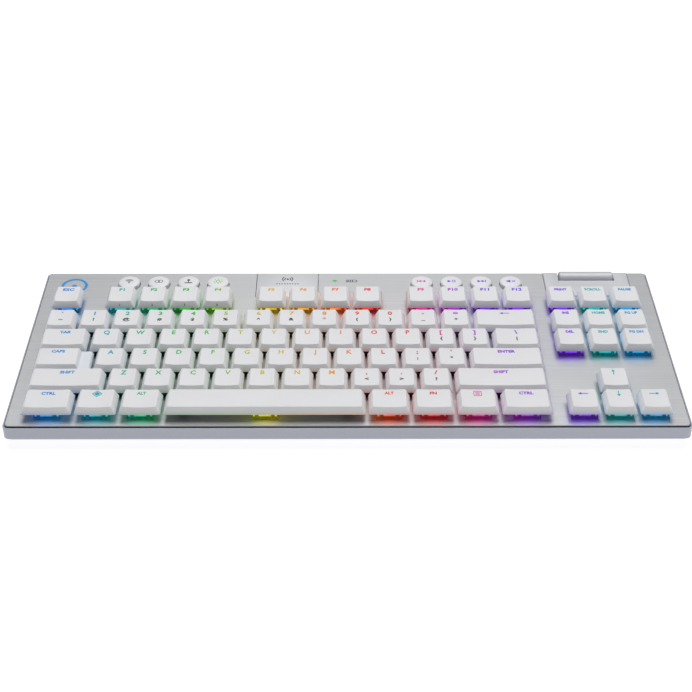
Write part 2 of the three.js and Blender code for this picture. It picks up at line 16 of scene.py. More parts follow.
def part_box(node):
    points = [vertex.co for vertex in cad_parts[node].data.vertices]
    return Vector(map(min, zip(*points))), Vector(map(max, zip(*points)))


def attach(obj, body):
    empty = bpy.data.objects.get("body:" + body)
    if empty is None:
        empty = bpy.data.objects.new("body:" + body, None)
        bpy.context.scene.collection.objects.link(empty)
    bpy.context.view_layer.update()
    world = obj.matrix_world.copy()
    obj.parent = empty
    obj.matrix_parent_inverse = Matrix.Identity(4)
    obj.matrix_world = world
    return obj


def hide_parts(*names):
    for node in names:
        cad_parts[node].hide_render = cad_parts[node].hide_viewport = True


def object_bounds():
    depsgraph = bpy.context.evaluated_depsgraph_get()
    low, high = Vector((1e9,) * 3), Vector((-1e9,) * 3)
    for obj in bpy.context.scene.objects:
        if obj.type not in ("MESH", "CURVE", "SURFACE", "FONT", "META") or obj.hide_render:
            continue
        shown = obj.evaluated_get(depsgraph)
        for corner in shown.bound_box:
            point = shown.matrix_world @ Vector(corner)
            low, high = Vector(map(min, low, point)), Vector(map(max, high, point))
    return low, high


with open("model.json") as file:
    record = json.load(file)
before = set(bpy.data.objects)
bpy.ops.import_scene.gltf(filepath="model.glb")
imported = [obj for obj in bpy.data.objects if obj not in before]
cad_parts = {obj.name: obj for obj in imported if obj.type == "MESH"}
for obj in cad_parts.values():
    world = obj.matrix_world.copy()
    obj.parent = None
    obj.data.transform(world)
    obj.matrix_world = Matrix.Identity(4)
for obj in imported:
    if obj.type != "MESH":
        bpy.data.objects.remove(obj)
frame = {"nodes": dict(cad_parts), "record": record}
cad_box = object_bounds()
scene = bpy.context.scene
MM = 0.001

# %% [markdown]
# ## Camera
# A long lens from in front and above shows the whole deck with little perspective. The tiny shift keeps
# the vanishing point where a slightly cropped picture has it.

# %% Camera
camera_data = bpy.data.cameras.new("camera")
camera_data.sensor_width = 36
camera_data.lens = 74.58
camera_data.shift_x = -0.0036
camera = bpy.data.objects.new("camera", camera_data)
camera.location = Vector((-1.49, -667.33, 494.65)) * MM
camera.rotation_euler = [math.radians(angle) for angle in (54.1305, -0.0486, -0.148)]
scene.collection.objects.link(camera)
scene.camera = camera

# %% [markdown]
# ## A small language for materials
# Shader graphs read best as sums and products, so `Value` wraps the output of a node and turns Python's
# operators into Math nodes. `Finish` holds one material: its `add` method makes any node, sets its
# settings first and then fills its sockets with numbers, colours or other values.


# %% Value and Finish
class Value:
    """The output of a node, with arithmetic."""

    def __init__(self, finish, socket):
        self.finish, self.socket = finish, socket

    def math(self, operation, *others, swap=False, clamp=False):
        parts = [self, *others]
        if swap:
            parts.reverse()
        node = self.finish.add("Math", {"operation": operation, "use_clamp": clamp}, dict(enumerate(parts)))
        return Value(self.finish, node.outputs[0])

    def __add__(self, other):
        return self.math("ADD", other)

    def __radd__(self, other):
        return self.math("ADD", other, swap=True)

    def __sub__(self, other):
        return self.math("SUBTRACT", other)

    def __rsub__(self, other):
        return self.math("SUBTRACT", other, swap=True)

    def __mul__(self, other):
        return self.math("MULTIPLY", other)

    def __rmul__(self, other):
        return self.math("MULTIPLY", other, swap=True)

    def __truediv__(self, other):
        return self.math("DIVIDE", other)

    def __pow__(self, other):
        return self.math("POWER", other)

    def above(self, edge):
        return self.math("GREATER_THAN", edge)

    def below(self, edge):
        return self.math("LESS_THAN", edge)


class Finish:
    """One material, built round a Principled shader."""

    def __init__(self, name, **settings):
        self.material = bpy.data.materials.new(name)
        self.material.use_nodes = True
        self.tree = self.material.node_tree
        self.shader = self.tree.nodes["Principled BSDF"]
        for socket, value in settings.items():
            self.set(self.shader, socket.replace("_", " "), value)

    def set(self, node, name, value):
        if isinstance(value, Value):
            self.tree.links.new(value.socket, node.inputs[name])
        elif isinstance(value, tuple) and len(value) == 3 and node.inputs[name].type == "RGBA":
            node.inputs[name].default_value = (*value, 1)
        else:
            node.inputs[name].default_value = value

    def add(self, kind, settings=None, sockets=None):
        node = self.tree.nodes.new("ShaderNode" + kind)
        for name, value in (settings or {}).items():
            if name == "stops":
                fill_ramp(node.color_ramp, value)
            else:
                setattr(node, name, value)
        for name, value in (sockets or {}).items():
            self.set(node, name, value)
        return node

    def out(self, node, name):
        return Value(self, node.outputs[name])

    def give(self, socket, value):
        self.set(self.shader, socket, value)
        return self

    def place(self, scale=(1, 1, 1), turn=(0, 0, 0)):
        """Where a point lies in the keyboard's frame, stretched for a pattern."""
        coordinates = self.out(self.add("TexCoord"), "Object")
        mapping = self.add("Mapping", sockets={"Vector": coordinates, "Scale": scale, "Rotation": turn})
        return self.out(mapping, "Vector")

    def axis(self, letter):
        parts = self.add("SeparateXYZ", sockets={0: self.place()})
        return self.out(parts, letter)

    def noise(self, scale, detail=2, rough=0.5, stretch=(1, 1, 1)):
        vector = self.place(stretch)
        sockets = {"Vector": vector, "Scale": scale, "Detail": detail, "Roughness": rough}
        return self.out(self.add("TexNoise", sockets=sockets), "Fac")

    def ramp(self, value, stops):
        return self.out(self.add("ValToRGB", {"stops": stops}, {"Fac": value}), "Color")

    def mix(self, share, low, high):
        sockets = {"Factor": share, 6: low, 7: high}
        node = self.add("Mix", {"data_type": "RGBA"}, sockets)
        return Value(self, node.outputs[2])

    def colours(self, share, low, high):
        """Mixes the base colour from two display colours."""
        return self.give("Base Color", self.mix(share, hexadecimal(low), hexadecimal(high)))

    def bump(self, height, distance, strength=1.0):
        sockets = {"Height": height, "Distance": distance, "Strength": strength}
        return self.give("Normal", self.out(self.add("Bump", sockets=sockets), "Normal"))


def fill_ramp(ramp, stops):
    """Sets a colour ramp from pairs of position and colour."""
    while len(ramp.elements) > 1:
        ramp.elements.remove(ramp.elements[0])
    for index, (position, colour) in enumerate(stops):
        stop = ramp.elements[0] if index == 0 else ramp.elements.new(position)
        stop.position = position
        stop.color = (*colour, 1)


def hexadecimal(text):
    """A display colour such as c4c5c8 as linear light."""
    channels = [int(text[i : i + 2], 16) / 255 for i in (0, 2, 4)]
    return tuple(c / 12.92 if c <= 0.04045 else ((c + 0.055) / 1.055) ** 2.4 for c in channels)


# %% [markdown]
# ## The colour of the backlight
# Each key has its own coloured lamp, and the colours run like a rainbow from left to right. Every lit part
# could have a colour of its own, but the legends, the switch housings and the glow on the skirts have to
# agree, so they all read one ramp. The wave is caught a little ahead in the rear rows, so its place leans
# with Y. The three navigation columns stand apart from it and run from violet through teal to blue.

# %% The backlight ramp
PITCH = 19.05 * MM
GAP = 0.75 * MM  # from a key cell's edge to the skirt
BLOCK_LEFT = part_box("escape_key")[0].x - GAP
HOME_ROW = sum(corner.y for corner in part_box("enter_key")) / 2
TILT = 0.0226  # how far the wave leans ahead, as a share, in each row further back
NAVIGATION_FROM, NAVIGATION_SHIFT = 15.2, 2  # in key widths from the left of the block
HUE_SPAN = 21
BLACK = (0, 0, 0)
HUES = [  # place in key widths, and colour
    (0.5, "1a86e0"),
    (1.6, "0aa4cc"),
    (2.4, "08b0a8"),
    (3.3, "10b478"),
    (4.3, "1cba3c"),
    (5.1, "4cc01c"),
    (5.8, "98c40c"),
    (6.4, "c8c408"),
    (7.2, "dcbc08"),
    (8.2, "eca608"),
    (9.2, "f28c0c"),
    (9.7, "f0500f"),
    (10.3, "ec3014"),
    (11.3, "e01c30"),
    (12.0, "e01878"),
    (12.5, "dc18a8"),
    (13.0, "c41cc4"),
    (13.6, "902ad6"),
    (14.4, "7a28e0"),
    (15.7, "7a2cec"),
    (18.2, "762ae8"),
    (18.5, "04b0a8"),
    (19.2, "06b0c0"),
    (19.5, "0c98d8"),
]


def hue(finish):
    """The backlight's colour at each point."""
    across = (finish.axis("X") - BLOCK_LEFT) / PITCH
    rows = (finish.axis("Y") - HOME_ROW) / PITCH
    wave = across * (1 + TILT * rows)
    beyond = across.above(NAVIGATION_FROM)
    place = wave + beyond * (across + NAVIGATION_SHIFT - wave)
    return finish.ramp(place / HUE_SPAN, [(units / HUE_SPAN, hexadecimal(text)) for units, text in HUES])


print("backlight:", len(HUES), "stops")

# %% [markdown]
# ## Keycap and print finishes
# The caps are white moulded plastic with a fine matt grain. A single colour would look like plaster, so
# broad noise shifts the white a little, finer noise roughens the gloss, and the finest one raises a grain.
# The plastic is a little translucent, and near the open underside the backlight would tint the skirt.
# That glow is painted into the base colour by a mask on height, and its colour belongs to the cap's place
# on the board. In the outer rows a glowing patch inside the cap stands in for the lamp's light, which falls
# on the plate round the key.

# %% Keycap and print finishes
CAP_TOP = cad_box[1].z - 0.05 * MM  # leaves room for the legends under the frame's highest point
SKIRT = 4.2 * MM
SKIRT_GLOW_PAINT, SKIRT_GLOW_HEIGHT = 0.4, 3.2 * MM  # how strongly the backlight's glow is painted on a skirt, and how far up
CAVITY_LIGHT = 2.0

cap = Finish("keycap_white", Roughness=0.42)
white = cap.mix(cap.noise(60), hexadecimal("e6e6e8"), hexadecimal("ececee"))
skirt_glow_mask = ((CAP_TOP - SKIRT + SKIRT_GLOW_HEIGHT) - cap.axis("Z")).math("DIVIDE", SKIRT_GLOW_HEIGHT, clamp=True)
# painted backlight glow: towards the skirt's foot the cap's hue is mixed into its base colour
cap.give("Base Color", cap.mix(skirt_glow_mask ** 2 * SKIRT_GLOW_PAINT, white, hue(cap)))
cap.give("Roughness", 0.42 + 0.12 * cap.noise(900))
cap.bump(cap.noise(2600, detail=3), 0.02 * MM, 0.25)

cavity = Finish("lit_cavity", Roughness=0.6, Base_Color=hexadecimal("e6e6e8"))
cavity.give("Emission Color", cavity.mix(0.6 + 0.8 * cavity.noise(150), BLACK, hue(cavity)))
cavity.give("Emission Strength", CAVITY_LIGHT)

dome = Finish("button_white", Roughness=0.3, Coat_Weight=0.15, Coat_Roughness=0.3)
dome.colours(dome.noise(90), "e6e6e9", "eeeef0")
dome.bump(dome.noise(2200, detail=3), 0.02 * MM, 0.2)

LEGEND_LIGHT = 0.82
legend = Finish("lit_legend", Base_Color=(0.01, 0.01, 0.01), Roughness=0.5)
legend.give("Emission Color", hue(legend)).give("Emission Strength", LEGEND_LIGHT)

grey_print = Finish("grey_print", Roughness=0.55)
grey_print.colours(grey_print.noise(400), "383a3f", "4a4c51")

# %% [markdown]
# ## Brushed aluminium
# A belt draws long scratches from side to side. The metal could carry them in a picture, but two noises
# stretched along X give scratches of any length without repeats: fine ones that blur into satin and
# coarse ones that the eye can follow. They steer the colour, the gloss and the relief together. The cut
# sides of the sheet lie in shade, and that shade is painted on them in dark grey by a mask on height.

# %% Brushed aluminium
BRUSH_FINE = (14, 5200, 900)
BRUSH_COARSE = (5, 1500, 400)
CUT_EDGE = 0.35 * MM  # the painted shade on the sheet's cut sides starts this far below its top
PLATE_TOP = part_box("top_plate")[1].z

plate_metal = Finish("brushed_plate", Metallic=0.7)
fine_streaks = plate_metal.noise(1, 3, 0.6, BRUSH_FINE)
streaks = 0.65 * fine_streaks + 0.35 * plate_metal.noise(1, 3, 0.55, BRUSH_COARSE)
sheen = plate_metal.mix((streaks - 0.3) * 2, hexadecimal("b6b7b9"), hexadecimal("d2d3d4"))
shade_on_cut_sides = plate_metal.axis("Z").below(PLATE_TOP - CUT_EDGE)
# painted shade: below CUT_EDGE the sheet's cut sides are coloured dark grey
plate_metal.give("Base Color", plate_metal.mix(shade_on_cut_sides, sheen, hexadecimal("34363b")))
plate_metal.give("Roughness", 0.35 + 0.15 * streaks)
plate_metal.bump(streaks, 0.015 * MM, 0.25)

# %% [markdown]
# ## Paint, rubber and plain plastics
# The tray has a fine metallic paint: tiny flakes in the colour under a thin clear coat. The light panels
# are the same paint in pale silver. Rubber is rough with a coarse grain, and the feet are matt plastic.

# %% Tray paint, panel, rubber, foot plastic
paint = Finish("tray_paint", Metallic=0.3, Roughness=0.36, Coat_Weight=0.25, Coat_Roughness=0.2)
paint.colours(paint.noise(5200, 1), "9ea1ac", "b4b8c3")
paint.give("Roughness", 0.34 + 0.1 * paint.noise(40))
paint.bump(paint.noise(3600, 1), 0.01 * MM, 0.2)

panel = Finish("panel_paint", Roughness=0.4, Metallic=0.15)
panel.colours(panel.noise(3000, 1), "cfd0d4", "d9dade")
panel.bump(panel.noise(2600, 2), 0.01 * MM, 0.2)

rubber = Finish("pad_rubber", Roughness=0.85)
rubber.colours(rubber.noise(300), "303236", "44464a")
rubber.bump(rubber.noise(1400, 4), 0.08 * MM, 0.5)

foot_plastic = Finish("foot_plastic", Roughness=0.5)
foot_plastic.colours(foot_plastic.noise(200), "868a93", "989ca5")
foot_plastic.bump(foot_plastic.noise(2400, 3), 0.03 * MM, 0.4)

# %% [markdown]
# ## Turned and rolled metals, board and battery
# The roller is turned on a lathe, so its scratches run round it: the noise is stretched the other way
# from the plate's. Pieces inside the case get plain but true finishes, for anyone who takes it apart.

# %% Metals inside and the roller
roller_metal = Finish("roller_metal", Metallic=0.3)
rings = roller_metal.noise(1, 3, 0.6, (3600, 60, 60))
roller_metal.colours(rings, "b8b9bd", "d0d1d4")
roller_metal.give("Roughness", 0.42 + 0.16 * rings)
roller_metal.bump(rings, 0.02 * MM, 0.4)

steel = Finish("inner_steel", Metallic=1.0)
grain = steel.noise(900, 4, 0.6, (1, 0.15, 1))
steel.colours(grain, "85888c", "a4a7ab")
steel.give("Roughness", 0.3 + 0.2 * grain)

board = Finish("circuit_board", Roughness=0.45, Coat_Weight=0.2)
mask = board.add("TexBrick", {"offset": 0.37}, {
    "Vector": board.place(), "Scale": 160.0, "Mortar Size": 0.08,
    "Color1": (0.012, 0.07, 0.035), "Color2": (0.014, 0.08, 0.04), "Mortar": (0.03, 0.16, 0.08),
})
board.give("Base Color", board.out(mask, "Color"))

wrap = Finish("battery_wrap", Roughness=0.35)
wrap.colours(wrap.noise(30), "24262c", "33353d")

# %% [markdown]
# ## Lit plastics
# Under each cap a lamp shines through a clear switch housing. Real lamps under 87 caps would take long
# to render without speckles, so the plastic itself gives off light: dimly on the lower half, brighter on
# the upper half, and strongly at the small lens behind the slider, which lights the cap from inside.

# %% Lamps, housings, lenses
housing_dark = Finish("housing_base", Roughness=0.25, Base_Color=(0.02, 0.02, 0.025))
dim = housing_dark.noise(700, 2)
housing_dark.give("Emission Color", housing_dark.mix(dim, BLACK, hue(housing_dark)))
housing_dark.give("Emission Strength", 0.4)
housing_lit = Finish("housing_top", Roughness=0.25, Base_Color=(0.03, 0.03, 0.035))
uneven = housing_lit.noise(380, 3)
housing_lit.give("Emission Color", housing_lit.mix(0.25 + uneven, BLACK, hue(housing_lit)))
housing_lit.give("Emission Strength", 1.5)
lamp = Finish("key_lamp", Roughness=0.3, Base_Color=(0.1, 0.1, 0.1))
lamp.give("Emission Color", hue(lamp)).give("Emission Strength", 8.0)
stem = Finish("key_slider", Roughness=0.4)
stem.colours(stem.noise(500), "1c1d20", "2a2b2f")
green_lamp = Finish("status_lens", Roughness=0.3, Base_Color=(0.02, 0.3, 0.04))
leaf = green_lamp.mix(green_lamp.noise(900), hexadecimal("22b834"), hexadecimal("48dc50"))
green_lamp.give("Emission Color", leaf).give("Emission Strength", 0.7)
blue_lamp = Finish("emblem_glow", Roughness=0.3, Base_Color=(0.0, 0.1, 0.25))
azure = blue_lamp.mix(blue_lamp.noise(300), hexadecimal("1286cc"), hexadecimal("2aa0e0"))
blue_lamp.give("Emission Color", azure).give("Emission Strength", 0.6)
print("finishes:", len(bpy.data.materials))

# %% [markdown]
# ## Making a piece
# `finished` turns a bmesh into an object that sits at the origin with its place in its mesh, rides on a
# body of the frame and, where it stands for a plainer solid, hides it. `add_box` and `turned` make the two
# raw shapes that most pieces start from: a block, and a profile spun round an upright axis.


# %% Piece helpers
def finished(name, bm, body, finishes, replaces=(), smooth=30):
    """A bmesh becomes a piece of the keyboard."""
    mesh = bpy.data.meshes.new(name)
    bm.to_mesh(mesh)
    bm.free()
    for finish in finishes:
        mesh.materials.append(finish.material)
    mesh.set_sharp_from_angle(angle=math.radians(smooth))
    piece = bpy.data.objects.new(name, mesh)
    scene.collection.objects.link(piece)
    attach(piece, body)
    if replaces:
        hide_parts(*replaces)
    return piece


def middle_of(node):
    """The middle of a node's box, seen from above."""
    low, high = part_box(node)
    return (low.x + high.x) / 2, (low.y + high.y) / 2


def smooth_all(bm):
    for face in bm.faces:
        face.smooth = True


def body_of_node(node):
    """The body that a node belongs to."""
    bodies = frame["record"]["behaviour"]["bodies"]
    return next(body for body, nodes in bodies.items() if node in nodes)


def add_box(bm, low, high, index=0):
    """A block between two corners; gives back its six faces."""
    low, high = Vector(low), Vector(high)
    verts = bmesh.ops.create_cube(bm, size=1)["verts"]
    bmesh.ops.scale(bm, vec=high - low, verts=verts)
    bmesh.ops.translate(bm, vec=(low + high) / 2, verts=verts)
    faces = list({face for v in verts for face in v.link_faces})
    for face in faces:
        face.material_index = index
    return faces


def turned(bm, profile, centre, steps=48):
    """Spins points of (distance from the axis, height) round an upright axis at `centre`."""
    verts = [bm.verts.new((distance, 0, height)) for distance, height in profile]
    edges = [bm.edges.new(pair) for pair in zip(verts, verts[1:])]
    spun = verts + edges
    bmesh.ops.spin(
        bm, geom=spun, cent=(0, 0, 0), axis=(0, 0, 1), angle=math.tau, steps=steps, use_merge=True
    )
    bmesh.ops.remove_doubles(bm, verts=bm.verts, dist=1e-7)
    bmesh.ops.recalc_face_normals(bm, faces=bm.faces)
    bmesh.ops.translate(bm, vec=(*centre, 0), verts=bm.verts)


def merged_in(bm, other, index):
    """Adds the faces of another bmesh, in one finish, and frees it."""
    for face in other.faces:
        face.material_index = index
    holder = bpy.data.meshes.new("holder")
    other.to_mesh(holder)
    other.free()
    bm.from_mesh(holder)
    bpy.data.meshes.remove(holder)


# %% [markdown]
# ## Keycaps
# A cap is a flat box pulled in towards its top, with small roundings on its upright corners, a
# finger-wide trough pressed into its face and a narrow soft rim. Subdivision would need many
# guiding loops to keep those edges crisp, so the corners and the rim are bevelled instead. A block is cut
# into strips across its width so that the trough can curve, and the underside is hollowed last. A stepped
# cap has a low roof under its step, so a deeper pocket over the switch leaves it room to go down.

# %% Cap sizes
SIDE_INSET, FRONT_INSET, BACK_INSET = 2.11 * MM, 1.75 * MM, 0.65 * MM  # from the skirt to the face
FRONT_CORNER, BACK_CORNER = 0.9 * MM, 1.1 * MM
RIM = 0.3 * MM
DISH = 0.35 * MM
CAP_WALL, CAP_ROOF = 0.8 * MM, 1.3 * MM
STEPPED_POCKET = Vector((15, 14.4)) * MM  # room for the switch under the high part of a stepped cap
STRIPS = 8
STEP_DROP, STEP_SLOPE = 2.6 * MM, 1.3 * MM  # of the lower part of a stepped cap


# %% Cap builder
def trough(across, half):
    """How far the face lies below the rim's corners, at a distance from the cap's middle."""
    return DISH * (1 - min(1, abs(across) / half) ** 2)


def cut_across(bm, x):
    """Cuts everything with a plane that looks along X."""
    geometry = bm.verts[:] + bm.edges[:] + bm.faces[:]
    bmesh.ops.bisect_plane(bm, geom=geometry, plane_co=(x, 0, 0), plane_no=(1, 0, 0), dist=1e-7)


def round_uprights(bm, front, radius, segments):
    """Rounds the two upright edges in front or the two behind."""
    edges = [
        e for e in bm.edges
        if abs(e.verts[0].co.z - e.verts[1].co.z) > SKIRT / 2 and (e.verts[0].co.y < 0) == front
    ]
    bmesh.ops.bevel(
        bm, geom=edges, offset=radius, affect="EDGES", segments=segments, profile=0.5, material=-1
    )


def is_rim(edge):
    """True where the face meets a side."""
    if len(edge.link_faces) != 2:
        return False
    ups = sorted(face.normal.z for face in edge.link_faces)
    return ups[1] > 0.8 and 0.1 < ups[0] < 0.8


def sunk_pocket(bm, top, size, floor):
    """Sinks a rectangular pocket of a given size into a flat face."""
    bmesh.ops.inset_region(bm, faces=[top], thickness=0.5 * MM, use_even_offset=True)
    middle = top.calc_center_bounds()
    for v in top.verts:
        v.co.x = middle.x + math.copysign(size[0] / 2, v.co.x - middle.x)
        v.co.y = middle.y + math.copysign(size[1] / 2, v.co.y - middle.y)
    sunk = bmesh.ops.extrude_face_region(bm, geom=[top])["geom"]
    bmesh.ops.delete(bm, geom=[top], context="FACES_ONLY")
    for v in [v for v in sunk if isinstance(v, bmesh.types.BMVert)]:
        v.co.z = floor


def hollow(bm, width, depth, roof):
    """Cuts the cavity under a cap, up to its roof."""
    under = [face for face in bm.faces if face.normal.z < -0.9]
    bmesh.ops.dissolve_faces(bm, faces=under, use_verts=True)
    bm.normal_update()
    under = [face for face in bm.faces if face.normal.z < -0.9]
    bmesh.ops.inset_region(bm, faces=under, thickness=CAP_WALL, use_even_offset=True)
    raised = bmesh.ops.extrude_face_region(bm, geom=under)["geom"]
    bmesh.ops.delete(bm, geom=under, context="FACES_ONLY")
    verts = [v for v in raised if isinstance(v, bmesh.types.BMVert)]
    rise = SKIRT - roof
    share = rise / SKIRT
    bmesh.ops.translate(bm, vec=(0, 0, rise), verts=verts)
    shrink_x = 1 - 2 * SIDE_INSET * share / (width - 2 * CAP_WALL)
    shrink_y = 1 - (FRONT_INSET + BACK_INSET) * share / (depth - 2 * CAP_WALL)
    bmesh.ops.scale(bm, vec=(shrink_x, shrink_y, 1), verts=verts)
    bmesh.ops.translate(bm, vec=(0, (FRONT_INSET - BACK_INSET) * share / 2, 0), verts=verts)


def cap_shell(centre, width, depth, step=None, flat=False):
    """One keycap with its skirt centred on `centre`; `step` is where a stepped cap drops."""
    bm = bmesh.new()
    bmesh.ops.create_cube(bm, size=1)
    bmesh.ops.scale(bm, vec=(width, depth, SKIRT), verts=bm.verts)
    for v in [v for v in bm.verts if v.co.z > 0]:
        v.co.x -= math.copysign(SIDE_INSET, v.co.x)
        v.co.y += FRONT_INSET if v.co.y < 0 else -BACK_INSET
    round_uprights(bm, True, FRONT_CORNER, 2)
    round_uprights(bm, False, BACK_CORNER, 4)
    half = width / 2 - SIDE_INSET
    inner = half - BACK_CORNER - 0.1 * MM
    if step is not None:
        cuts = [step, step + STEP_SLOPE]
    else:
        cuts = [inner * (2 * i / STRIPS - 1) for i in range(STRIPS + 1)]
    for x in cuts:
        cut_across(bm, x)
    for v in [v for v in bm.verts if v.co.z > SKIRT / 2 - 1e-6]:
        if step is not None and v.co.x > step + STEP_SLOPE / 2:
            share = STEP_DROP / SKIRT
            v.co.z -= STEP_DROP
            v.co.x += SIDE_INSET * share if v.co.x > inner - 1e-6 else 0
            v.co.y += -FRONT_INSET * share if v.co.y < 0 else BACK_INSET * share
        elif step is None and not flat:
            drop = trough(v.co.x, half)
            v.co.z -= drop
            v.co.y += (-FRONT_INSET if v.co.y < 0 else BACK_INSET) * drop / SKIRT
    bm.normal_update()
    bmesh.ops.bevel(
        bm, geom=[e for e in bm.edges if is_rim(e)], offset=RIM, affect="EDGES", segments=2,
        profile=0.5, material=-1, clamp_overlap=True
    )
    hollow(bm, width, depth, CAP_ROOF if step is None else STEP_DROP + CAP_WALL)
    if step is not None:
        lowered = SKIRT / 2 - STEP_DROP - CAP_WALL
        level = [face for face in bm.faces if abs(face.calc_center_median().z - lowered) < 1e-5]
        roof = max(level, key=lambda face: face.calc_area())
        sunk_pocket(bm, roof, STEPPED_POCKET, SKIRT / 2 - CAP_ROOF)
        bmesh.ops.dissolve_degenerate(bm, dist=0.001 * MM, edges=bm.edges)
    smooth_all(bm)
    bmesh.ops.translate(bm, vec=(centre[0], centre[1], CAP_TOP - SKIRT / 2), verts=bm.verts)
    return bm


# %% [markdown]
# ## Legends
# Letters are flat curves turned into meshes, fattened a little, because lit letters look bolder than
# printed ones. Each is moved to its key and lowered point by point on to the trough, so that it lies a
# hair above the plastic all along. Nothing here is more than the usual letters, numerals and arrows.

# %% Legend helpers
LIFT = 0.03 * MM
BOLD = 0.15 * MM


def text_bmesh(words, size, bold=BOLD):
    """Words as a thin mesh, centred on their own middle."""
    curve = bpy.data.curves.new("words", "FONT")
    curve.body = words
    curve.size = size
    curve.resolution_u = 2
    curve.extrude = LIFT
    curve.offset = bold
    thing = bpy.data.objects.new("words", curve)
    scene.collection.objects.link(thing)
    bpy.context.view_layer.update()
    mesh = bpy.data.meshes.new_from_object(thing.evaluated_get(bpy.context.evaluated_depsgraph_get()))
    bpy.data.objects.remove(thing)
    bpy.data.curves.remove(curve)
    bm = bmesh.new()
    bm.from_mesh(mesh)
    bpy.data.meshes.remove(mesh)
    bmesh.ops.remove_doubles(bm, verts=bm.verts, dist=1e-7)
    xs = [v.co.x for v in bm.verts]
    bmesh.ops.translate(bm, vec=(-(min(xs) + max(xs)) / 2, 0, 0), verts=bm.verts)
    return bm


def lay(bm, ink, place, centre, half, index, stretch=1.0):
    """Lays flat ink on a cap's face, at `place` from the cap's centre."""
    for v in ink.verts:
        v.co.x = v.co.x * stretch + place[0]
        v.co.y += place[1]
        v.co.z += CAP_TOP + LIFT / 2 - (trough(v.co.x, half) if half else 0)
        v.co.x += centre[0]
        v.co.y += centre[1]
    merged_in(bm, ink, index)


def lay_on_front(bm, ink, centre, depth, share, index):
    """Lays flat ink on a cap's sloping front, with its foot at a share of the way up."""
    slope = math.atan2(SKIRT, FRONT_INSET)
    bmesh.ops.rotate(ink, cent=(0, 0, 0), matrix=Matrix.Rotation(slope, 3, "X"), verts=ink.verts)
    foot = Vector((centre[0], centre[1] - depth / 2 + share * FRONT_INSET, CAP_TOP - (1 - share) * SKIRT))
    bmesh.ops.translate(ink, vec=foot, verts=ink.verts)
    merged_in(bm, ink, index)


# %% [markdown]
# ## Signs
# Buttons and a few keys carry small signs in place of letters. A font has few of them in one style, so
# they are drawn with four pens of one width: a straight stroke, a ring or an arc, a spot and an arrow head.


# %% Pens
def stroke(ink, start, end, width):
    """A straight bar from one point to another, in millimetres."""
    start, end = Vector((*start, 0)) * MM, Vector((*end, 0)) * MM
    along = end - start
    verts = bmesh.ops.create_grid(ink, x_segments=1, y_segments=1, size=0.5)["verts"]
    bmesh.ops.scale(ink, vec=(along.length, width * MM, 1), verts=verts)
    turn = Matrix.Rotation(math.atan2(along.y, along.x), 3, "Z")
    bmesh.ops.rotate(ink, cent=(0, 0, 0), matrix=turn, verts=verts)
    bmesh.ops.translate(ink, vec=(start + end) / 2, verts=verts)


def loop(ink, corners, width):
    """Strokes that join the corners and close."""
    for start, end in zip(corners, corners[1:] + corners[:1]):
        stroke(ink, start, end, width)


def arc(ink, middle, radius, width, start=0, sweep=360):
    """A ring or part of one, with its angles in degrees."""
    turn = Matrix.Rotation(math.radians(start), 3, "Z")
    ends = [turn @ Vector(((radius + side * width / 2) * MM, 0, 0)) for side in (-1, 1)]
    middle = Vector((*middle, 0)) * MM
    verts = [ink.verts.new(middle + end) for end in ends]
    edge = ink.edges.new(verts)
    bmesh.ops.spin(
        ink, geom=verts + [edge], cent=middle, axis=(0, 0, 1), angle=math.radians(sweep),
        steps=max(4, sweep // 15), use_merge=sweep == 360
    )


def spot(ink, middle, radius, sides=16, turn=0):
    """A filled circle, or with three sides an arrow head that points along `turn`."""
    verts = bmesh.ops.create_circle(ink, cap_ends=True, segments=sides, radius=radius * MM)["verts"]
    turn = Matrix.Rotation(math.radians(turn - 90), 3, "Z")
    bmesh.ops.rotate(ink, cent=(0, 0, 0), matrix=turn, verts=verts)
    bmesh.ops.translate(ink, vec=Vector((*middle, 0)) * MM, verts=verts)


def thickened(ink):
    """Gives flat ink a hair of thickness and makes it face up."""
    bmesh.ops.recalc_face_normals(ink, faces=ink.faces)
    flipped = [face for face in ink.faces if face.normal.z < 0]
    bmesh.ops.reverse_faces(ink, faces=flipped)
    raised = bmesh.ops.extrude_face_region(ink, geom=ink.faces[:])["geom"]
    verts = [v for v in raised if isinstance(v, bmesh.types.BMVert)]
    bmesh.ops.translate(ink, vec=(0, 0, LIFT), verts=verts)
    bmesh.ops.recalc_face_normals(ink, faces=ink.faces)
    return ink


PEN, THIN_PEN = 0.55, 0.42


def arrow_sign(turn, length=5.2):
    """A long arrow that points along `turn`, in degrees."""
    ink = bmesh.new()
    tip = Vector((math.cos(math.radians(turn)), math.sin(math.radians(turn))))
    stroke(ink, -tip * length / 2, tip * (length / 2 - 1), PEN)
    spot(ink, tip * (length / 2 - 0.9), 1.25, 3, turn)
    return thickened(ink)


def lines_sign():
    """A short list of three lines in a frame."""
    ink = bmesh.new()
    for y in (-1.0, 0.0, 1.0):
        stroke(ink, (-1.2, y), (1.2, y), THIN_PEN)
    loop(ink, [(-2, -1.9), (2, -1.9), (2, 1.9), (-2, 1.9)], THIN_PEN)
    return thickened(ink)


def diamond_sign():
    """A solid diamond in a thin frame, for the system key."""
    ink = bmesh.new()
    spot(ink, (0, 0), 1.75, 4, 90)
    loop(ink, [(0, 2.6), (2.6, 0), (0, -2.6), (-2.6, 0)], 0.45)
    return thickened(ink)


# %% [markdown]
# ## Which keys there are
# Each run of keys in the frame lists the keys that it holds, from left to right. A word in brackets is a
# sign; everything else is set in type. The second signs sit lower on the face and are printed in grey.

